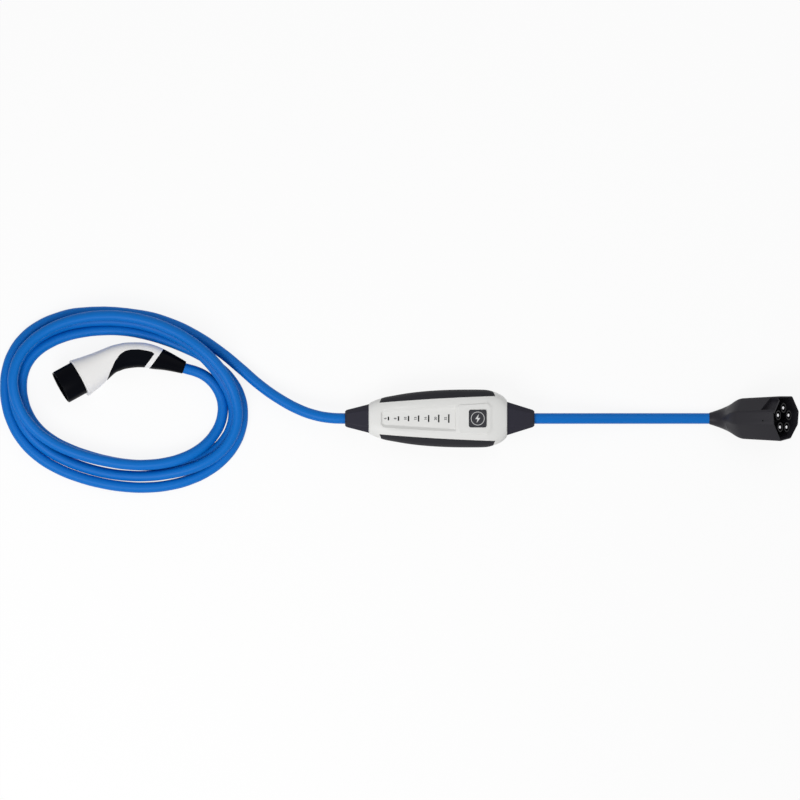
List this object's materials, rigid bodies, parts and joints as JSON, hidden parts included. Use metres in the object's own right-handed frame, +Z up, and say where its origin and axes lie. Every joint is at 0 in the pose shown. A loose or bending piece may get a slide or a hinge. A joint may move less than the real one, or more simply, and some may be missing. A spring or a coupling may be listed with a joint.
{
  "type": "portable ev charger",
  "caption": "Portable electric vehicle charger: a box with a bar indicator and push button, a coiled cable to a vehicle connector, and a short cable to a supply plug.",
  "frame": {"origin": "middle of the control box's underside, on the floor, half way between the tips of its two cable glands", "axes": "+X along the box towards the supply plug, +Y across the box towards the top of the picture, +Z up out of its face"},
  "size_m": [1.1983, 0.2808, 0.1015],
  "materials": {
    "white_shell": "fine satin moulding",
    "bumper_rubber": "soft matt rubber",
    "gland_plastic": "matt grained plastic",
    "seal": "plain",
    "steel": "bright",
    "light_guide": "smoked light guide",
    "board": "solder mask",
    "leds": "moulded",
    "button": "satin",
    "electrics": "moulded",
    "terminals": "moulded",
    "cores": "insulated wire",
    "black_plastic": "satin moulding",
    "grip": "soft satin rubber",
    "contacts": "silver plated",
    "plug_plastic": "satin moulding",
    "cable_sheath": "smooth matt sheath"
  },
  "bodies": {
    "charger": {"upper_shell": "white_shell", "lower_shell": "white_shell", "handle_upper": "white_shell", "handle_lower": "white_shell", "bumper_far": "bumper_rubber", "bumper_near": "bumper_rubber", "gland_vehicle": "gland_plastic", "gland_supply": "gland_plastic", "gland_nuts": "gland_plastic", "housing_seal": "seal", "switch_dome": "seal", "housing_screws": "steel", "handle_screws": "steel", "light_bars": "light_guide", "main_board": "board", "indicator_board": "board", "indicator_leds": "leds", "relays": "electrics", "power_module": "electrics", "current_sensor": "electrics", "terminal_blocks": "terminals", "vehicle_cores": "cores", "supply_cores": "cores", "connector_nose": "black_plastic", "contact_carrier": "black_plastic", "end_cap": "black_plastic", "grip_pad": "grip", "power_contacts": "contacts", "signal_contacts": "contacts", "plug_pins": "contacts", "plug_tail": "plug_plastic", "plug_housing": "plug_plastic", "plug_insert": "plug_plastic", "supply_cable": "cable_sheath", "cable_run": "cable_sheath", "cable_coil": "cable_sheath", "cable_lead": "cable_sheath"},
    "button": {"mode_button": "button"}
  },
  "joints": [
    {"name": "button_press", "type": "slide", "parent": "charger", "child": "button", "axis": [0, 0, -1], "range_m": [0, 0.0008], "stiffness_N_per_m": 1500, "springref_m": -0.0006, "deforming": ["switch_dome"]}
  ]
}
